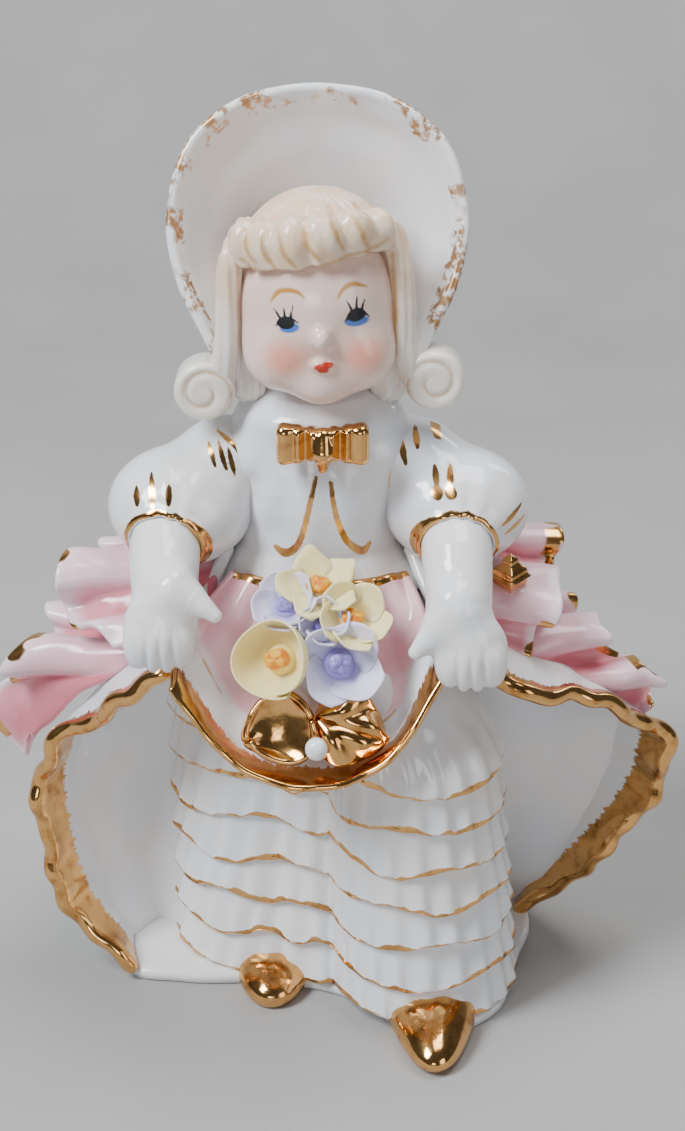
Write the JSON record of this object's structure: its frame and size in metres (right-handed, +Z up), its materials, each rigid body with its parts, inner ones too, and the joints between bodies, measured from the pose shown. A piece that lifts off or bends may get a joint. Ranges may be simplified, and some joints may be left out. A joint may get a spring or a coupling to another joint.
{
  "type": "porcelain figurine",
  "caption": "Glazed porcelain figurine of a girl in a bonnet and tiered petticoat who holds up her apron of flowers, with an open flared overskirt on a flat base.",
  "frame": {"origin": "a point on the flat underside of the base plinth, below the axis of the neck and bonnet", "axes": "+Z up, -Y the way the girl faces, +X towards her left hand"},
  "size_m": [0.1038, 0.0705, 0.1393],
  "materials": {
    "white_glaze": "gloss",
    "bright_gold": "polished",
    "pink_glaze": "satin",
    "skin_glaze": "satin",
    "hair_glaze": "satin",
    "yellow_bisque": "matte",
    "lilac_bisque": "matte",
    "pollen": "matte"
  },
  "bodies": {
    "root": {"apron": "pink_glaze", "back_bow": "pink_glaze", "base_plinth": "white_glaze", "bodice": "white_glaze", "bonnet_brim": "white_glaze", "bonnet_crown": "white_glaze", "bouquet_bead": "white_glaze", "bouquet_mound": "white_glaze", "hair_cap": "hair_glaze", "hair_nape": "hair_glaze", "head": "skin_glaze", "left_curl": "hair_glaze", "left_forearm_and_hand": "white_glaze", "left_gilt_bud": "bright_gold", "left_gilt_leaf": "bright_gold", "left_hair_lock": "hair_glaze", "left_lower_ruffle": "pink_glaze", "left_shoe": "bright_gold", "left_sleeve": "white_glaze", "left_upper_ruffle": "pink_glaze", "lilac_flower_front": "lilac_bisque", "lilac_flower_front_centre": "pollen", "lilac_flower_middle": "lilac_bisque", "lilac_flower_middle_centre": "pollen", "lilac_flower_side": "lilac_bisque", "lilac_flower_side_centre": "pollen", "neck_bow": "bright_gold", "overskirt": "white_glaze", "petticoat": "white_glaze", "right_curl": "hair_glaze", "right_forearm_and_hand": "white_glaze", "right_gilt_leaf": "bright_gold", "right_hair_lock": "hair_glaze", "right_lower_ruffle": "pink_glaze", "right_shoe": "bright_gold", "right_sleeve": "white_glaze", "right_upper_ruffle": "pink_glaze", "yellow_flower_cup": "yellow_bisque", "yellow_flower_cup_centre": "pollen", "yellow_flower_side": "yellow_bisque", "yellow_flower_side_centre": "pollen", "yellow_flower_top": "yellow_bisque", "yellow_flower_top_centre": "pollen"}
  },
  "joints": []
}
